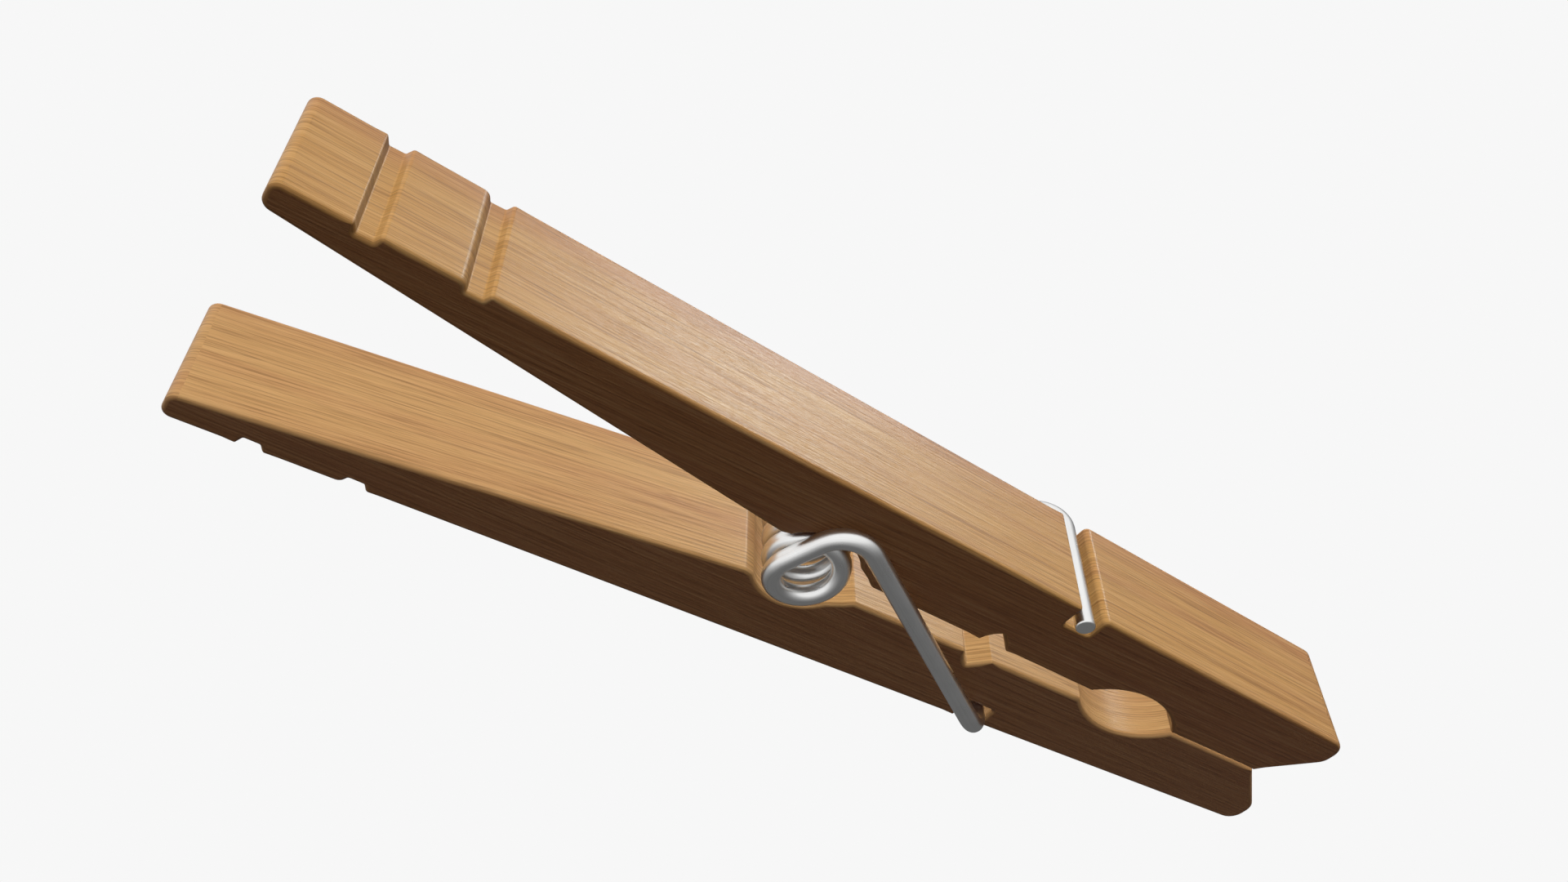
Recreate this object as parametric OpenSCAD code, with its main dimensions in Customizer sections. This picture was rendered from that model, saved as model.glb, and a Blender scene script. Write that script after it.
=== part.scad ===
// Spring clothespin: two wooden halves held together by one wire torsion spring.
// The origin is the centre of the spring coil, which is the hinge axis (Y).
// +X points to the jaws, +Y across the width, and +Z to the upper half.
// Both halves are the same sawn profile; the lower one is turned over about X.

/* [Wooden halves] */
// Distance from the hinge axis to the nose
jaw_l = 44.2; // [42:0.1:48]
// Distance from the hinge axis to the tip of the handle
handle_l = 38.6; // [37:0.1:46]
// Width of the wood
wood_w = 8.86; // [8:0.02:9]
// Height of the outer face above the hinge axis
outer_h = 7.70; // [7.4:0.05:8.4]
// Slope of the outer face, which falls towards the nose
outer_slope = 2.5; // [2:0.1:3]
// Slope of the inner face of the handle
handle_slope = 8.83; // [8:0.01:9.2]

/* [Grip grooves] */
// Distance from the hinge axis to the middle of each groove
groove_x = [33.35, 27.03]; // [25:0.05:36]
// Width of a groove at the surface
groove_w = 1.57; // [1.2:0.01:2]
// Depth of a groove
groove_d = 0.55; // [0.3:0.05:0.9]

/* [Jaws] */
// Length of the mouth in front of the pads
mouth_l = 3.8; // [3:0.1:4.2]
// Slope of the mouth in front of the pad
mouth_slope = 43.5; // [40:0.5:50]
// Radius of the groove for the washing line
line_r = 5.57; // [5.3:0.01:5.8]
// Distance from the hinge axis to the middle of the line groove
line_x = 27.65; // [27:0.05:28]
// Depth of the line groove
line_d = 2.15; // [1.8:0.05:2.4]

/* [Spring] */
// Diameter of the wire
wire_d = 1.40; // [1.2:0.01:1.41]
// Mean radius of the coil
coil_r = 2.25; // [2.1:0.01:2.4]
// Number of turns
coil_turns = 6; // [6:1:7]
// Distance from the mid-plane to the middle of the first turn
coil_y = 5.05; // [5.05:0.01:5.2]
// Radius of the wood's seat around the coil
seat_r = 3.45; // [3.4:0.01:3.6]
// Distance from the hinge axis to the hooks
hook_x = 18.45; // [18.2:0.05:18.6]
// Distance from the mid-plane to the corner of a hook
hook_y = 6.3; // [6:0.05:6.8]

/* [Hidden] */
$fn = 48;

pad_z = 0.01;            // half the gap between the closed pads
handle_in_z = 1.53;      // heights of the inner faces, carried on to the hinge axis
jaw_in_z = 0.966;
jaw_in_slope = 0.95;
overcut = 1;

tip_in_r = 0.7;          // roundings of the outline
tip_out_r = 0.65;
nose_r = 1.2;
groove_r = [0.2, 0.6];   // rear edge of each grip groove
groove_front_r = 0.3;
corner_r = 0.45;
edge_r = 0.2;
floor_r = 0.15;
arc_step = 15;           // degrees of one step along a rounding

groove_lean = 0.3;       // how far the walls of a grip groove lean in
notch_w = 2.1;           // notch that holds the spring's hook
notch_x = hook_x - 0.05;
notch_z = 5.05;
hook_z = notch_z + wire_d / 2 + 0.05;
flank = [3.78, 1.42];    // front and rear corners of the coil seat
flank_run = 0.65;
rear_x = -3.3;
seat_in = seat_r * 2 / 3;
relief_x = 14.6;         // small V notch in the inner face of the jaw: [along, depth]
relief = [[1.25, 0], [0.65, 0.59], [0, 1.21], [-0.45, 0.87], [-1.1, 0]];
mouth_x = jaw_l - mouth_l;

lean = 20.8;             // angle by which the wire leans forward as it leaves the coil
splay = 4.2;             // angle by which it leans outwards at the same time
rise = 5.8;              // length from there to the corner above the coil
bend_r = 2.2;
hook_r = 1.9;
hook_end = wood_w / 2 + 0.27;
turn_steps = 16;         // rings of the swept wire in one turn of the coil
wire_sides = 12;

function outer_z(x) = outer_h - x * tan(outer_slope);
function handle_z(x) = handle_in_z - x * tan(handle_slope);
function jaw_z(x) = jaw_in_z - x * tan(jaw_in_slope);

// ---- outline of one half: points are [x, z, rounding radius] ----

function outer_point(x, r) = [x, outer_z(x), r];

function grip_groove(x, rear_r) = let(half = groove_w / 2, in = half - groove_lean) [
    outer_point(x - half, rear_r),
    [x - in, outer_z(x) - groove_d, floor_r],
    [x + in, outer_z(x) - groove_d, floor_r],
    outer_point(x + half, groove_front_r),
];

function hook_notch(x) = let(half = notch_w / 2) [
    outer_point(x - half, edge_r),
    [x - half, notch_z, edge_r],
    [x + half, notch_z, edge_r],
    outer_point(x + half, corner_r),
];

function relief_notch(x) = [for (p = relief) [x + p.x, jaw_z(x + p.x) + p.y, floor_r]];

function half_outline() = concat(
    [[-handle_l, handle_z(-handle_l), tip_in_r], outer_point(-handle_l, tip_out_r)],
    grip_groove(-groove_x[0], groove_r[0]),
    grip_groove(-groove_x[1], groove_r[1]),
    hook_notch(notch_x),
    [outer_point(jaw_l, nose_r),
     [jaw_l, pad_z + mouth_l * tan(mouth_slope), nose_r],
     [mouth_x, pad_z, edge_r],
     [line_x, pad_z, 0],
     [line_x, jaw_z(line_x), 0]],
    relief_notch(relief_x),
    [[flank.x + flank_run, jaw_z(flank.x), corner_r],
     [flank.x, flank.y, edge_r],
     [seat_in, seat_in, 0],
     [-seat_in, seat_in, 0],
     [rear_x, handle_z(rear_x), corner_r]]
);

// ---- rounding of an outline ----

function unit(v) = v / norm(v);

function corner_arc(a, b, c, r) =
    let(u = unit(a - b), v = unit(c - b), half = acos(u * v) / 2,
        centre = b + unit(u + v) * r / sin(half),
        from = b + u * r / tan(half) - centre, turn = 180 - 2 * half,
        side = sign(cross(u, v)), steps = max(1, ceil(turn / arc_step)))
    [for (i = [0 : steps]) let(t = -side * turn * i / steps)
        centre + [from.x * cos(t) - from.y * sin(t), from.x * sin(t) + from.y * cos(t)]];

function xz(p) = [p.x, p.y];

function rounded(pts) = let(n = len(pts))
    [for (i = [0 : n - 1]) each pts[i].z == 0 ? [xz(pts[i])]
        : corner_arc(xz(pts[(i + n - 1) % n]), xz(pts[i]), xz(pts[(i + 1) % n]), pts[i].z)];

// ---- wooden halves ----

module across(h) {
    rotate([90, 0, 0]) linear_extrude(height = h, center = true) children();
}

module bore_across(x, z, r) {
    translate([x, 0, z]) rotate([90, 0, 0])
        cylinder(r = r, h = wood_w + 2 * overcut, center = true, $fn = 96);
}

module wooden_half() {
    difference() {
        across(wood_w) polygon(rounded(half_outline()));
        bore_across(0, 0, seat_r);
        bore_across(line_x, line_d - line_r, line_r);
    }
}

module upper_half() {
    color("tan") wooden_half();
}

module lower_half() {
    color("burlywood") rotate([180, 0, 0]) wooden_half();
}

// ---- torsion spring: one wire swept along arm, coil and arm ----

// Points of the bend at b between a and c, in the plane of the three
function bend(a, b, c, r) =
    let(u = unit(a - b), v = unit(c - b), half = acos(u * v) / 2, turn = 180 - 2 * half,
        centre = b + unit(u + v) * r / sin(half),
        start = b + u * r / tan(half) - centre, steps = ceil(turn / arc_step))
    [for (i = [0 : steps]) let(t = turn * i / steps) centre + start * cos(t) - u * r * sin(t)];

// Arm on the -Y side, from its cut end in the lower notch up to the first turn
function arm_path() =
    let(coil_start = [-coil_r, -coil_y, 0],
        lean_at = coil_start + [0, 0, coil_r * tan(lean / 2)],
        over_coil = lean_at + rise * [sin(lean) * cos(splay), -sin(lean) * sin(splay), cos(lean)],
        hook = [hook_x, -hook_y, -hook_z],
        cut_end = [hook_x, hook_end, -hook_z])
    concat([cut_end], bend(cut_end, hook, over_coil, hook_r),
           bend(hook, over_coil, lean_at, bend_r), bend(over_coil, lean_at, coil_start, coil_r));

function coil_path() = let(steps = coil_turns * turn_steps)
    [for (i = [1 : steps - 1]) let(t = 180 + 360 * i / turn_steps)
        [coil_r * cos(t), -coil_y + 2 * coil_y * i / steps, coil_r * sin(t)]];

function turned_over(path) = [for (p = path) [p.x, -p.y, -p.z]];
function reversed(path) = [for (i = [len(path) - 1 : -1 : 0]) path[i]];
function wire_path() = concat(arm_path(), coil_path(), reversed(turned_over(arm_path())));

function heading(path, i) = unit(path[min(i + 1, len(path) - 1)] - path[max(i - 1, 0)]);
function square_to(v, t) = unit(v - (v * t) * t);

// One direction across the wire for each point, carried along without twisting
function carried(path) =
    [for (i = 0, side = square_to([1, 0, 1], heading(path, 0)); i < len(path);
          i = i + 1, side = square_to(side, heading(path, min(i, len(path) - 1)))) side];

module swept_wire(path, d, sides) {
    across = carried(path);
    last = len(path) - 1;
    points = [for (i = [0 : last], k = [0 : sides - 1])
        let(a = 360 * k / sides)
        path[i] + d / 2 * (across[i] * cos(a) + cross(heading(path, i), across[i]) * sin(a))];
    walls = [for (i = [0 : last - 1], k = [0 : sides - 1])
        let(j = (k + 1) % sides)
        [i * sides + k, (i + 1) * sides + k, (i + 1) * sides + j, i * sides + j]];
    ends = [[for (k = [0 : sides - 1]) k], [for (k = [sides - 1 : -1 : 0]) last * sides + k]];
    polyhedron(points, concat(walls, ends), convexity = 10);
}

module torsion_spring() {
    color("silver") swept_wire(wire_path(), wire_d, wire_sides);
}

lower_half();
upper_half();
torsion_spring();
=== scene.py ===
"""Looks of the spring clothespin: rounded and grained wooden halves, and a drawn-wire torsion spring."""

import math

import bmesh
import bpy
import numpy as np
from mathutils import Matrix, Vector


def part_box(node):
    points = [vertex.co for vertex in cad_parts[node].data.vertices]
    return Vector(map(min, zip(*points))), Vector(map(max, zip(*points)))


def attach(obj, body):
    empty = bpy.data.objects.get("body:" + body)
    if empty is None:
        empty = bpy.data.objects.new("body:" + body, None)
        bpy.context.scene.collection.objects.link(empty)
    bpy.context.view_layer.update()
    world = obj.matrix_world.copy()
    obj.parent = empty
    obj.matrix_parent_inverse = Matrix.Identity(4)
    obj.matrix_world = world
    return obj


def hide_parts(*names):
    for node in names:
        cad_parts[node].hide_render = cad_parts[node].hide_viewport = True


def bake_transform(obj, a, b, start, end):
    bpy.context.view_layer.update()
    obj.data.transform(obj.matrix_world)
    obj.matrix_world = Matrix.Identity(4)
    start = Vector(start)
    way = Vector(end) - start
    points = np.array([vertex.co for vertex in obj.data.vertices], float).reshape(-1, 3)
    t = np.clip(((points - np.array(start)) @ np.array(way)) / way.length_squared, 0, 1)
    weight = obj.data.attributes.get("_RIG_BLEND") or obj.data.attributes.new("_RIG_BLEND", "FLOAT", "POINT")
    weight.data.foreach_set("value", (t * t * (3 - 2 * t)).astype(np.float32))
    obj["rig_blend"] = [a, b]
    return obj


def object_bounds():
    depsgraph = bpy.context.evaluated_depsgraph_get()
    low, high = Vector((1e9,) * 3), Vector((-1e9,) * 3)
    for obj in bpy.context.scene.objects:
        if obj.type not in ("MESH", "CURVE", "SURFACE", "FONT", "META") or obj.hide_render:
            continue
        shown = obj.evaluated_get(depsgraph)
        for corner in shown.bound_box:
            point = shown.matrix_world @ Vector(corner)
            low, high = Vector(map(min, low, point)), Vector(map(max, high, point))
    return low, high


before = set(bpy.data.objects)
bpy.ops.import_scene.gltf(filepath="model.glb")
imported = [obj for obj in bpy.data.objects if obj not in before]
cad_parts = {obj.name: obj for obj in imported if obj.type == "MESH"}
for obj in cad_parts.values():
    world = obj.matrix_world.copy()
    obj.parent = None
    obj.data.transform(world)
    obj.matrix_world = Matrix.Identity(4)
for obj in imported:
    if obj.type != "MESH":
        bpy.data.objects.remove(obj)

CAD_LOW, CAD_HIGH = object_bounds()
MM = 0.001

# ---- wooden halves ----
ARRIS_R = 0.31 * MM        # rounding of the long edges
ARRIS_STEPS = 5
ARRIS_SHARE = 0.75         # most of a small corner that the rounding may use up
ARRIS_SPREAD = 0.35        # how fast the rounding widens again beside a small corner
STRAIGHT_WITHIN = 0.5      # degrees of turn below which a point of the outline is left out
OUTLINE_STEP = 0.9 * MM    # longest piece of the outline
WIDTH_STEPS = 6
SHARP_ANGLE = 38           # degrees
GRAIN_MAP = "grain"        # UV map in millimetres: along the surface, and across the board
SIDE_GRAIN = 60            # the side faces show another part of the grain
SIDEWAYS = 0.99            # least cosine from +Y of a face that belongs to the side of the half
SAME_PLACE = 1e-6

# ---- spring, in millimetres, along the same line as the CAD node's wire ----
WIRE_D = 1.37              # a little under the CAD wire, so that the mesh stays inside its box
COIL_R = 2.25
COIL_TURNS = 6
COIL_Y = 5.05
HOOK_AT = Vector((18.45, -6.3, -5.8))
HOOK_R = 1.9
BEND_R = 2.2
LEAN = math.radians(20.8)
SPLAY = math.radians(4.2)
RISE = 5.8
END_PROUD = 0.27           # how far the cut end stands out of the wood
END_R = 0.13               # rounding of the cut end's rim
RIM_STEPS = 4
WIRE_SIDES = 28
TURN_STEPS = 56
ARM_STEP = 0.6
BEND_STEP = math.radians(5)
WIRE_MAP = "wire"          # UV map of the wire: along it and round it, both from 0 to 1

# ---- wood: each noise's cycles per millimetre along and across the board, and its shift ----
BANDS = ((0.010, 0.30, 1), (0, 0, 0))
TINT = ((0.016, 0.24, 1), (40, 11, 7))
STREAKS = ((0.024, 2.6, 1), (7, 3, 1))
FIBRES = ((0.11, 6.5, 1), (1, 5, 2))
SAW_MARKS = ((1.1, 5.5, 1), (9, 1, 3))
LONG_VEINS = ((0.008, 0.55, 1), 0.006, 0.40)      # cycles, then width and strength of the lines
SHORT_VEINS = ((0.016, 1.6, 1), 0.010, 0.30)
HEART = (3.4, 6.0)               # where the wood turns redder, towards the +Y side of the board
HEART_WANDER = 4.0               # how far that edge wanders in and out
FIBRE_DEPTH = 0.05 * MM
SAW_DEPTH = 0.06 * MM
WOOD_ROUGHNESS = (0.31, 0.39)
WOOD_SPECULAR = 0.22
LOWER_BOARD = (30, 170, 5)       # where in the noise each half is sawn from
UPPER_BOARD = (610, 318, 22)
# painted sheen: the whole lower half is painted paler, in place of the reflected light that the upper half
# hides from its inner face
LOWER_SHEEN_PALENESS = 0.35
UPPER_PALENESS = 0.08

# ---- wood: colours as they look on a screen, from 0 to 255 ----
GOLDEN = (216, 160, 88)
STRAW = (222, 168, 96)
TAN = (210, 152, 88)
# pale tone mixed in by the paleness; on the lower half it is painted sheen
LIGHTER_TONE_AND_SHEEN = (228, 186, 138)
ROSY = (212, 152, 102)
HEARTWOOD = (204, 140, 92)
DARK_STREAK = (168, 108, 58)
LIGHT_STREAK = (244, 200, 132)
LONG_VEIN = (124, 72, 38)
SHORT_VEIN = (140, 88, 46)
DARK_FIBRE = (138, 88, 46)
LIGHT_FIBRE = (248, 206, 142)

# ---- steel: cycles of each noise along the whole wire and round it ----
DRAWN_LINES = (14, 30, 1)
WIRE_SKIN = (120, 6, 1)
LINE_DEPTH = 0.006 * MM
STEEL_ROUGHNESS = (0.27, 0.33)
BRIGHT_STEEL = (0.88, 0.88, 0.87, 1)
DULL_STEEL = (0.78, 0.78, 0.77, 1)

# ---- camera, stage and light ----
CAMERA_AT = Vector((-38.22, -63.91, 54.69)) * MM
CAMERA_TURN = (-27.31, 34.50, 42.17)     # azimuth, elevation and roll in degrees
LENS = 31.98
SENSOR = 36.0
CLIP = (0.005, 50)
FLOOR_DROP = 0.25
FLOOR_SIZE = 6.0
PALE = (0.931, 0.931, 0.931)             # floor and background as the camera sees them
FILL = (0.034, 0.022, 0.028)             # what the world adds to the diffuse light
BRIGHT_SIDE = (-0.75, 0.2, 0.65)         # where the world is brightest in a shiny surface
# cosine of the angle from the bright side, and brightness there
MIRRORED = [(-1.0, 0.14), (-0.62, 0.135), (-0.32, 0.26), (0.0, 0.50), (0.3, 0.98), (1.0, 1.08)]
# lamps: direction, strength, spread in degrees and colour
KEY = ((-0.42, 0.42, 0.80), 2.6, 110, (1, 1, 1))
WOOD_SHINE = ((0.375, 0.775, 0.51), 1.25, 10, (0.82, 1.0, 1.05))


# ---- meshes ----

def join_rings(bm, uv, rings, place):
    """Walls between neighbouring rings of points. place gives the UV of a ring and a point on it."""
    for k, (ring, following) in enumerate(zip(rings, rings[1:])):
        for i in range(len(ring)):
            j = (i + 1) % len(ring)
            face = bm.faces.new((ring[i], ring[j], following[j], following[i]))
            corners = ((k, i), (k, i + 1), (k + 1, i + 1), (k + 1, i))
            for loop, (row, column) in zip(face.loops, corners):
                loop[uv].uv = place(row, column)


def finished_mesh(bm, name):
    """The mesh with its faces turned outwards, smooth except at its sharp edges."""
    bmesh.ops.recalc_face_normals(bm, faces=bm.faces)
    mesh = bpy.data.meshes.new(name)
    bm.to_mesh(mesh)
    bm.free()
    mesh.shade_smooth()
    mesh.set_sharp_from_angle(angle=math.radians(SHARP_ANGLE))
    return mesh


def add_object(name, mesh, material):
    """A mesh with one material, put into the scene."""
    piece = bpy.data.objects.new(name, mesh)
    bpy.context.scene.collection.objects.link(piece)
    mesh.materials.append(material)
    return piece


# ---- wooden halves ----

def side_loop(node):
    """The corners of the node's +Y side face in order, as an array of x and z."""
    bm = bmesh.new()
    bm.from_mesh(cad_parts[node].data)
    bmesh.ops.remove_doubles(bm, verts=bm.verts, dist=SAME_PLACE)
    top = max(v.co.y for v in bm.verts)
    follow = {}
    for face in bm.faces:
        if face.normal.y < SIDEWAYS or abs(face.verts[0].co.y - top) > SAME_PLACE:
            continue
        for loop in face.loops:
            if all(f.normal.y < SIDEWAYS for f in loop.edge.link_faces if f is not face):
                follow[loop.vert.index] = loop.link_loop_next.vert.index
    bm.verts.ensure_lookup_table()
    start = min(follow)
    order = [start]
    while follow[order[-1]] != start:
        order.append(follow[order[-1]])
    points = np.array([(bm.verts[i].co.x, bm.verts[i].co.z) for i in order])
    bm.free()
    return points


def without_straight(points):
    """The outline without the points that lie on a straight run."""
    before = points - np.roll(points, 1, axis=0)
    after = np.roll(points, -1, axis=0) - points
    turn = np.abs(before[:, 0] * after[:, 1] - before[:, 1] * after[:, 0])
    size = np.linalg.norm(before, axis=1) * np.linalg.norm(after, axis=1)
    return points[turn > size * math.sin(math.radians(STRAIGHT_WITHIN))]


def divided(points, step):
    """The outline with its long runs cut into pieces no longer than step."""
    made = []
    for a, b in zip(points, np.roll(points, -1, axis=0)):
        pieces = max(1, math.ceil(np.linalg.norm(b - a) / step))
        made.extend(a + (b - a) * i / pieces for i in range(pieces))
    return np.array(made)


def edge_normals(points):
    """Outward normals of the edges that start at each point."""
    along = np.roll(points, -1, axis=0) - points
    normals = np.stack([along[:, 1], -along[:, 0]], axis=1)
    area = np.sum(points[:, 0] * np.roll(points[:, 1], -1) - points[:, 1] * np.roll(points[:, 0], -1))
    return math.copysign(1, area) * normals / np.linalg.norm(normals, axis=1)[:, None]


def inward(points):
    """For each point, the vector that moves both of its edges inwards by 1."""
    after = edge_normals(points)
    before = np.roll(after, 1, axis=0)
    return -(before + after) / (1 + np.sum(before * after, axis=1))[:, None]


def arris_widths(points, most):
    """How far each point of the side face may move inwards: less beside small outer corners."""
    step = inward(points)
    along = np.roll(points, -1, axis=0) - points
    length = np.linalg.norm(along, axis=1)
    closing = -np.sum((np.roll(step, -1, axis=0) - step) * along, axis=1) / length
    room = np.where(closing > 1e-9, length / np.maximum(closing, 1e-9), 1.0)
    widths = np.minimum(most, ARRIS_SHARE * np.minimum(room, np.roll(room, 1)))
    for _ in range(2):
        for i in list(range(len(points))) * 2:
            widths[i] = min(widths[i], widths[i - 1] + ARRIS_SPREAD * length[i - 1])
        for i in list(range(len(points) - 1, -1, -1)) * 2:
            j = (i + 1) % len(points)
            widths[i] = min(widths[i], widths[j] + ARRIS_SPREAD * length[i])
    return widths


def half_layers(low_y, high_y):
    """(y, share of the rounding moved in) of the outline's copies, from one side to the other."""
    turns = [math.pi / 2 * (1 - i / ARRIS_STEPS) for i in range(ARRIS_STEPS + 1)]
    first = [(low_y + ARRIS_R * (1 - math.sin(t)), 1 - math.cos(t)) for t in turns]
    last = [(high_y - (y - low_y), share) for y, share in reversed(first)]
    gap = last[0][0] - first[-1][0]
    middle = [(first[-1][0] + gap * i / WIDTH_STEPS, 0.0) for i in range(1, WIDTH_STEPS)]
    return first + middle + last


def half_mesh(name, node):
    """The outline of the CAD node, swept across its width with rounded long edges."""
    low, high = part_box(node)
    points = divided(without_straight(side_loop(node)), OUTLINE_STEP)
    moves = arris_widths(points, ARRIS_R)[:, None] * inward(points)
    run = np.linalg.norm(np.roll(points, -1, axis=0) - points, axis=1)
    along = np.concatenate([[0.0], np.cumsum(run)])
    layers = half_layers(low.y, high.y)
    bm = bmesh.new()
    grain = bm.loops.layers.uv.new(GRAIN_MAP)
    rings = [[bm.verts.new((x, y, z)) for x, z in points + share * moves] for y, share in layers]
    join_rings(bm, grain, rings, lambda row, column: (along[column] / MM, layers[row][0] / MM))
    for ring in (rings[0], rings[-1]):
        for loop in bm.faces.new(ring).loops:
            loop[grain].uv = (loop.vert.co.x / MM, loop.vert.co.z / MM + SIDE_GRAIN)
    return finished_mesh(bm, name)


def wooden_half(name, node, body, material):
    """A half of the pin, in the place of its CAD node."""
    half = add_object(name, half_mesh(name, node), material)
    weighted = half.modifiers.new("weighted_normals", "WEIGHTED_NORMAL")
    weighted.keep_sharp = True
    half.visible_diffuse = False     # no colour is thrown from one half onto the other
    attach(half, body)
    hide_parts(node)
    return half


# ---- spring ----

def bend(before, corner, after, radius):
    """Points of the round bend at corner, from the straight before it to the one after."""
    u = (before - corner).normalized()
    v = (after - corner).normalized()
    half = u.angle(v) / 2
    turn = math.pi - 2 * half
    centre = corner + (u + v).normalized() * radius / math.sin(half)
    start = corner + u * radius / math.tan(half) - centre
    steps = max(2, math.ceil(turn / BEND_STEP))
    turns = [turn * i / steps for i in range(steps + 1)]
    return [centre + start * math.cos(t) - u * radius * math.sin(t) for t in turns]


def straight(a, b, step):
    """Points between a and b, without the two."""
    pieces = max(1, math.ceil((b - a).length / step))
    return [a.lerp(b, i / pieces) for i in range(1, pieces)]


def arm_path(half_width):
    """Centreline of the -Y arm, from its cut end under the lower half to the first turn."""
    coil_start = Vector((-COIL_R, -COIL_Y, 0))
    lean_at = coil_start + Vector((0, 0, COIL_R * math.tan(LEAN / 2)))
    over_coil = lean_at + RISE * Vector((
        math.sin(LEAN) * math.cos(SPLAY), -math.sin(LEAN) * math.sin(SPLAY), math.cos(LEAN)))
    cut_end = Vector((HOOK_AT.x, half_width + END_PROUD, HOOK_AT.z))
    path = [cut_end]
    for corner in (bend(cut_end, HOOK_AT, over_coil, HOOK_R),
                   bend(HOOK_AT, over_coil, lean_at, BEND_R),
                   bend(over_coil, lean_at, coil_start, COIL_R)):
        path += straight(path[-1], corner[0], ARM_STEP) + corner
    return path


def coil_path():
    """Centreline of the coil, from one side of the pin to the other, without its two ends."""
    steps = COIL_TURNS * TURN_STEPS
    turns = [math.pi + 2 * math.pi * i / TURN_STEPS for i in range(1, steps)]
    return [Vector((COIL_R * math.cos(t), -COIL_Y + 2 * COIL_Y * (i + 1) / steps, COIL_R * math.sin(t)))
            for i, t in enumerate(turns)]


def turned_over(path):
    """The path turned over about X, in the opposite order."""
    return [Vector((p.x, -p.y, -p.z)) for p in reversed(path)]


def wire_rings(path):
    """(centre, radius) of each ring of the wire, with the rounded rims of the two cut ends."""
    radius = WIRE_D / 2
    turns = [math.pi / 2 * i / RIM_STEPS for i in range(RIM_STEPS)]
    rim = [(END_R * (1 - math.sin(t)), radius - END_R * (1 - math.cos(t))) for t in reversed(turns)]
    first = (path[1] - path[0]).normalized()
    last = (path[-2] - path[-1]).normalized()
    head = [(path[0], radius - END_R)] + [(path[0] + first * d, r) for d, r in rim]
    tail = [(path[-1] + last * d, r) for d, r in reversed(rim)] + [(path[-1], radius - END_R)]
    return head + [(p, radius) for p in path[1:-1]] + tail


def ring_sides(rings):
    """Two directions across the wire at each ring, carried along it without twisting."""
    last = len(rings) - 1
    side = Vector((0, 0, 1))
    found = []
    for i in range(len(rings)):
        ahead = (rings[min(i + 1, last)][0] - rings[max(i - 1, 0)][0]).normalized()
        side = (side - ahead * side.dot(ahead)).normalized()
        found.append((side, ahead.cross(side)))
    return found


def wire_mesh(name, rings):
    """The wire, swept through its rings."""
    steps = [(b - a).length for (a, _), (b, _) in zip(rings, rings[1:])]
    along = np.concatenate([[0.0], np.cumsum(steps)])
    turns = [2 * math.pi * k / WIRE_SIDES for k in range(WIRE_SIDES)]
    bm = bmesh.new()
    uv = bm.loops.layers.uv.new(WIRE_MAP)
    made = []
    for (centre, radius), (side, other) in zip(rings, ring_sides(rings)):
        ring = [centre + (side * math.cos(a) + other * math.sin(a)) * radius for a in turns]
        made.append([bm.verts.new(point * MM) for point in ring])
    join_rings(bm, uv, made, lambda row, column: (along[row] / along[-1], column / WIRE_SIDES))
    for ring in (made[0], made[-1]):
        bm.faces.new(ring)
    return finished_mesh(bm, name)


def twist_by_turn(mesh, ring_count, first_turn):
    """Shares the upper half's motion out evenly along the coil, from none to all of it."""
    turning = ring_count - 2 * first_turn
    shares = np.clip([(i - first_turn) / turning for i in range(ring_count)], 0.0, 1.0)
    weights = np.repeat(shares, WIRE_SIDES).astype(np.float32)
    mesh.attributes["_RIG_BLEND"].data.foreach_set("value", weights)


def spring(material, half_width):
    """One wire, swept along arm, coil and arm. Its coil twists between the two halves."""
    arm = arm_path(half_width)
    path = arm + coil_path() + turned_over(arm)
    rings = wire_rings(path)
    rim_rings = (len(rings) - len(path)) // 2
    piece = add_object("spring_wire", wire_mesh("spring_wire", rings), material)
    piece.visible_diffuse = False    # bright steel throws no glow on the wood
    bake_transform(piece, "lower", "upper", start=(0, -COIL_Y * MM, 0), end=(0, COIL_Y * MM, 0))
    twist_by_turn(piece.data, len(rings), len(arm) + rim_rings)
    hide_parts("torsion_spring")
    return piece


# ---- materials ----

def linear(colour):
    """A colour given as it looks on a screen, from 0 to 255, as the shader takes it."""
    parts = [value / 255 for value in colour]
    return (*(v / 12.92 if v <= 0.04045 else ((v + 0.055) / 1.055) ** 2.4 for v in parts), 1.0)


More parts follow.
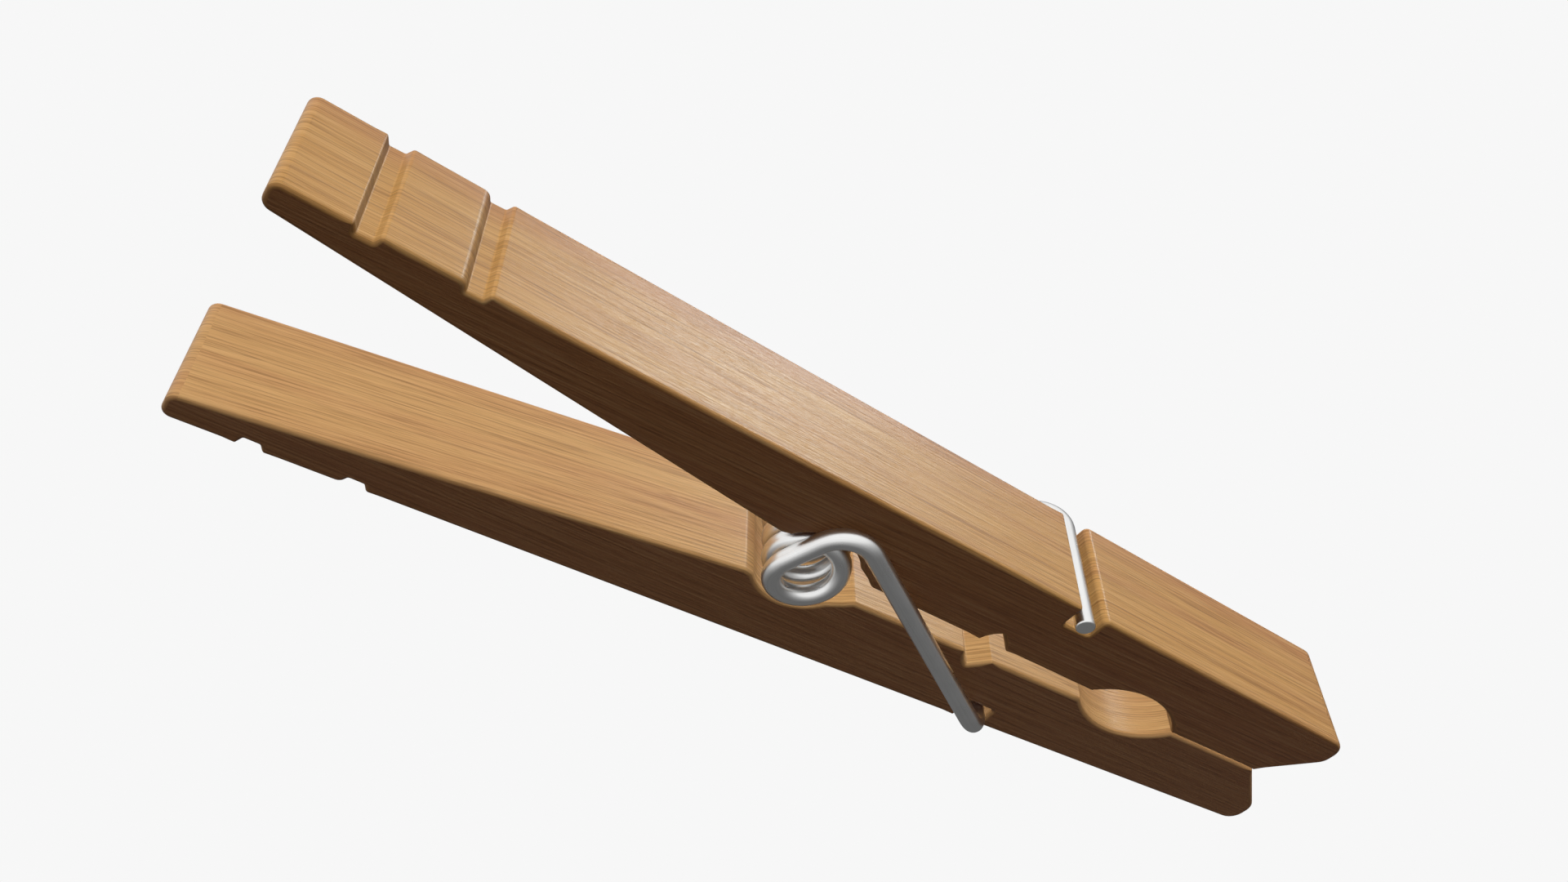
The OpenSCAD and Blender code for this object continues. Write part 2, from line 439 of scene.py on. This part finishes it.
class Nodes:
    """A material's node tree, with short calls for the nodes used here."""

    MIX_INPUTS = (0, 6, 7)     # a mix node's factor, and its two colours
    MIX_OUTPUT = 2

    def __init__(self, name):
        self.material = bpy.data.materials.new(name)
        self.material.use_nodes = True
        self.tree = self.material.node_tree
        self.shader = self.tree.nodes["Principled BSDF"]

    def add(self, kind, **settings):
        node = self.tree.nodes.new(kind)
        for key, value in settings.items():
            setattr(node, key, value)
        return node

    def join(self, source, target):
        self.tree.links.new(source, target)
        return target

    def scaled(self, source, scale, shift=(0, 0, 0)):
        node = self.add("ShaderNodeMapping")
        node.inputs["Scale"].default_value = scale
        node.inputs["Location"].default_value = shift
        self.join(source, node.inputs["Vector"])
        return node.outputs["Vector"]

    def noise(self, vector, detail=2.0, rough=0.5, distort=0.0):
        node = self.add("ShaderNodeTexNoise")
        node.inputs["Scale"].default_value = 1.0
        node.inputs["Detail"].default_value = detail
        node.inputs["Roughness"].default_value = rough
        node.inputs["Distortion"].default_value = distort
        self.join(vector, node.inputs["Vector"])
        return node.outputs["Fac"]

    def ramp(self, value, stops):
        node = self.add("ShaderNodeValToRGB")
        band = node.color_ramp
        while len(band.elements) < len(stops):
            band.elements.new(0.5)
        for element, (at, colour) in zip(band.elements, stops):
            element.position = at
            element.color = colour
        self.join(value, node.inputs["Fac"])
        return node.outputs["Color"]

    def span(self, value, low, high, to_low=0.0, to_high=1.0):
        node = self.add("ShaderNodeMapRange")
        for key, number in (("From Min", low), ("From Max", high), ("To Min", to_low), ("To Max", to_high)):
            node.inputs[key].default_value = number
        self.join(value, node.inputs["Value"])
        return node.outputs["Result"]

    def feed(self, socket, value):
        """Sets a plain value on a socket, or joins a node's output to it."""
        if isinstance(value, (int, float, tuple)):
            socket.default_value = value
        else:
            self.join(value, socket)

    def mixed(self, share, a, b):
        node = self.add("ShaderNodeMix", data_type="RGBA")
        for i, value in zip(self.MIX_INPUTS, (share, a, b)):
            self.feed(node.inputs[i], value)
        return node.outputs[self.MIX_OUTPUT]

    def maths(self, how, a, b=0.0):
        node = self.add("ShaderNodeMath", operation=how)
        self.feed(node.inputs[0], a)
        self.feed(node.inputs[1], b)
        return node.outputs["Value"]

    def part(self, vector, axis):
        node = self.add("ShaderNodeSeparateXYZ")
        self.join(vector, node.inputs["Vector"])
        return node.outputs[axis]

    def vein(self, vector, scale, width, strength):
        """Thin wavy lines: where a noise crosses its middle value."""
        value = self.noise(self.scaled(vector, scale), distort=0.1)
        off = self.maths("ABSOLUTE", self.maths("SUBTRACT", value, 0.5))
        return self.span(off, 0.0, width, strength, 0.0)

    def bump(self, height, strength, distance, normal=None):
        node = self.add("ShaderNodeBump")
        node.inputs["Strength"].default_value = strength
        node.inputs["Distance"].default_value = distance
        self.join(height, node.inputs["Height"])
        if normal is not None:
            self.join(normal, node.inputs["Normal"])
        return node.outputs["Normal"]


def grain_colour(n, board, across, streaks, fibres, paleness_and_sheen):
    """The wood's colour: wide bands, redder parts, streaks, thin dark veins and short fibres, over a pale
    tone that is painted sheen on the lower half.
    """
    bands = n.noise(n.scaled(board, *BANDS), distort=0.2)
    tint = n.noise(n.scaled(board, *TINT), detail=1.0)
    heart = n.maths("ADD", across, n.maths("MULTIPLY", tint, HEART_WANDER))
    colour = n.ramp(bands, [(0.34, linear(GOLDEN)), (0.50, linear(STRAW)), (0.66, linear(TAN))])
    # each span gives where in the noise a tone starts and is strongest, and how strong it is there
    # the first tone, the pale one, is painted sheen on the lower half
    for share, tone in ((paleness_and_sheen, LIGHTER_TONE_AND_SHEEN),
                        (n.span(tint, 0.48, 0.66, 0.0, 0.50), ROSY),
                        (n.span(heart, *HEART, 0.0, 0.50), HEARTWOOD),
                        (n.span(streaks, 0.52, 0.72, 0.0, 0.18), DARK_STREAK),
                        (n.span(streaks, 0.47, 0.30, 0.0, 0.17), LIGHT_STREAK),
                        (n.vein(board, *LONG_VEINS), LONG_VEIN),
                        (n.vein(board, *SHORT_VEINS), SHORT_VEIN),
                        (n.span(fibres, 0.50, 0.64, 0.0, 0.46), DARK_FIBRE),
                        (n.span(fibres, 0.48, 0.36, 0.0, 0.36), LIGHT_FIBRE)):
        colour = n.mixed(share, colour, linear(tone))
    return colour


def wood(name, shift, paleness_and_sheen):
    """Light brown hardwood. Its grain runs along the half; shift picks the board it is sawn from. The
    paleness lightens the whole half, and on the lower half this is painted sheen.
    """
    n = Nodes(name)
    surface = n.add("ShaderNodeUVMap", uv_map=GRAIN_MAP).outputs["UV"]
    board = n.scaled(surface, (1, 1, 1), shift)
    streaks = n.noise(n.scaled(board, *STREAKS), detail=3.0, rough=0.6)
    fibres = n.noise(n.scaled(board, *FIBRES), detail=4.0, rough=0.68)
    saw = n.noise(n.scaled(board, *SAW_MARKS), detail=3.0, rough=0.6)

    n.join(grain_colour(n, board, n.part(surface, "Y"), streaks, fibres, paleness_and_sheen),
           n.shader.inputs["Base Color"])
    n.join(n.span(fibres, 0.3, 0.7, *WOOD_ROUGHNESS), n.shader.inputs["Roughness"])
    n.shader.inputs["Specular IOR Level"].default_value = WOOD_SPECULAR
    relief = n.bump(fibres, 0.6, FIBRE_DEPTH)
    relief = n.bump(saw, 0.35, SAW_DEPTH, relief)
    n.join(relief, n.shader.inputs["Normal"])
    return n.material


def steel(name):
    """Bright drawn wire: fine lines along it, and a slightly uneven satin skin."""
    n = Nodes(name)
    uv = n.add("ShaderNodeUVMap", uv_map=WIRE_MAP).outputs["UV"]
    lines = n.noise(n.scaled(uv, DRAWN_LINES), detail=3.0, rough=0.6)
    skin = n.noise(n.scaled(uv, WIRE_SKIN), detail=1.0)
    n.join(n.mixed(n.span(lines, 0.35, 0.7), BRIGHT_STEEL, DULL_STEEL), n.shader.inputs["Base Color"])
    n.join(n.span(skin, 0.3, 0.7, *STEEL_ROUGHNESS), n.shader.inputs["Roughness"])
    n.shader.inputs["Metallic"].default_value = 1.0
    n.join(n.bump(lines, 0.10, LINE_DEPTH), n.shader.inputs["Normal"])
    return n.material


# ---- stage, light and camera ----

def glow(name, colour):
    """A pale, evenly lit surface."""
    material = bpy.data.materials.new(name)
    material.use_nodes = True
    tree = material.node_tree
    tree.nodes.clear()
    emission = tree.nodes.new("ShaderNodeEmission")
    emission.inputs["Color"].default_value = (*colour, 1)
    out = tree.nodes.new("ShaderNodeOutputMaterial")
    tree.links.new(emission.outputs["Emission"], out.inputs["Surface"])
    return material


def add_floor():
    """A pale floor far below the pin, which throws no light back on it."""
    mesh = bpy.data.meshes.new("floor")
    bm = bmesh.new()
    bmesh.ops.create_grid(bm, x_segments=4, y_segments=4, size=FLOOR_SIZE / 2)
    bm.to_mesh(mesh)
    bm.free()
    floor = add_object("floor", mesh, glow("floor", PALE))
    floor.location.z = CAD_LOW.z - FLOOR_DROP
    floor.visible_diffuse = False
    floor.visible_glossy = False


def world_band(tree, towards, stops):
    """A soft light that changes with direction: stops are (cosine from towards, brightness)."""
    new, link = tree.nodes.new, tree.links.new
    direction = new("ShaderNodeTexCoord").outputs["Generated"]
    cosine = new("ShaderNodeVectorMath")
    cosine.operation = "DOT_PRODUCT"
    link(direction, cosine.inputs[0])
    cosine.inputs[1].default_value = Vector(towards).normalized()
    span = new("ShaderNodeMapRange")
    span.inputs["From Min"].default_value = -1.0
    link(cosine.outputs["Value"], span.inputs["Value"])
    band = new("ShaderNodeValToRGB")
    link(span.outputs["Result"], band.inputs["Fac"])
    most = max(value for _, value in stops)
    while len(band.color_ramp.elements) < len(stops):
        band.color_ramp.elements.new(0.5)
    for element, (at, value) in zip(band.color_ramp.elements, stops):
        element.position = (at + 1) / 2
        element.color = (value / most, value / most, value / most, 1)
    soft = new("ShaderNodeBackground")
    link(band.outputs["Color"], soft.inputs["Color"])
    soft.inputs["Strength"].default_value = most
    return soft.outputs["Background"]


def plain_light(tree, colour):
    """The same light from every direction."""
    node = tree.nodes.new("ShaderNodeBackground")
    node.inputs["Color"].default_value = (*colour, 1)
    return node.outputs["Background"]


def add_world():
    """A pale room: even and dim as light, and brighter behind and above where it is mirrored."""
    world = bpy.data.worlds.new("studio")
    bpy.context.scene.world = world
    world.use_nodes = True
    tree = world.node_tree
    tree.nodes.clear()
    path = tree.nodes.new("ShaderNodeLightPath")
    mirrored = tree.nodes.new("ShaderNodeMixShader")
    seen = tree.nodes.new("ShaderNodeMixShader")
    out = tree.nodes.new("ShaderNodeOutputWorld")
    tree.links.new(path.outputs["Is Glossy Ray"], mirrored.inputs["Fac"])
    tree.links.new(plain_light(tree, FILL), mirrored.inputs[1])
    tree.links.new(world_band(tree, BRIGHT_SIDE, MIRRORED), mirrored.inputs[2])
    tree.links.new(path.outputs["Is Camera Ray"], seen.inputs["Fac"])
    tree.links.new(mirrored.outputs["Shader"], seen.inputs[1])
    tree.links.new(plain_light(tree, PALE), seen.inputs[2])
    tree.links.new(seen.outputs["Shader"], out.inputs["Surface"])


def add_lamp(name, towards, strength, spread, colour):
    """A distant soft lamp in the direction towards. It casts no shadow, so gaps stay open."""
    light = bpy.data.lights.new(name, "SUN")
    light.energy = strength
    light.angle = math.radians(spread)
    light.color = colour
    light.use_shadow = False
    light.cycles.use_multiple_importance_sampling = False     # or the pin would still shade itself
    lamp = bpy.data.objects.new(name, light)
    bpy.context.scene.collection.objects.link(lamp)
    lamp.rotation_euler = Vector(towards).to_track_quat("Z", "Y").to_euler()
    return lamp


def add_key():
    """The main light, for diffuse surfaces only: what shines mirrors the world instead."""
    lamp = add_lamp("key", *KEY)
    lamp.visible_glossy = False


def add_shine(name, settings, pieces):
    """A lamp that only shows as gloss, and only on the given pieces."""
    lamp = add_lamp(name, *settings)
    lamp.visible_diffuse = False
    lit = bpy.data.collections.new(name + "_lit")
    for piece in pieces:
        lit.objects.link(piece)
    lamp.light_linking.receiver_collection = lit


def add_camera():
    """The camera, turned to its azimuth and elevation, and then rolled."""
    azimuth, elevation, roll = (math.radians(a) for a in CAMERA_TURN)
    level = math.cos(elevation)
    back = Vector((math.sin(azimuth) * level, -math.cos(azimuth) * level, math.sin(elevation)))
    across = Vector((0, 0, 1)).cross(back).normalized()
    up = back.cross(across)
    right = across * math.cos(roll) + up * math.sin(roll)
    top = back.cross(right)
    data = bpy.data.cameras.new("camera")
    data.sensor_width = SENSOR
    data.lens = LENS
    data.clip_start, data.clip_end = CLIP
    camera = bpy.data.objects.new("camera", data)
    bpy.context.scene.collection.objects.link(camera)
    camera.matrix_world = Matrix.Translation(CAMERA_AT) @ Matrix((right, top, back)).transposed().to_4x4()
    bpy.context.scene.camera = camera


# ---- the pin, its stage and its light ----

lower_wood = wood("lower_wood", LOWER_BOARD, LOWER_SHEEN_PALENESS)
upper_wood = wood("upper_wood", UPPER_BOARD, UPPER_PALENESS)
halves = [
    wooden_half("lower_wooden_half", "lower_half", "lower", lower_wood),
    wooden_half("upper_wooden_half", "upper_half", "upper", upper_wood),
]
half_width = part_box("upper_half")[1].y / MM
spring(steel("spring_steel"), half_width)

bpy.context.scene.view_settings.view_transform = "Standard"
add_world()
add_key()
add_shine("wood_shine", WOOD_SHINE, halves)
add_floor()
add_camera()
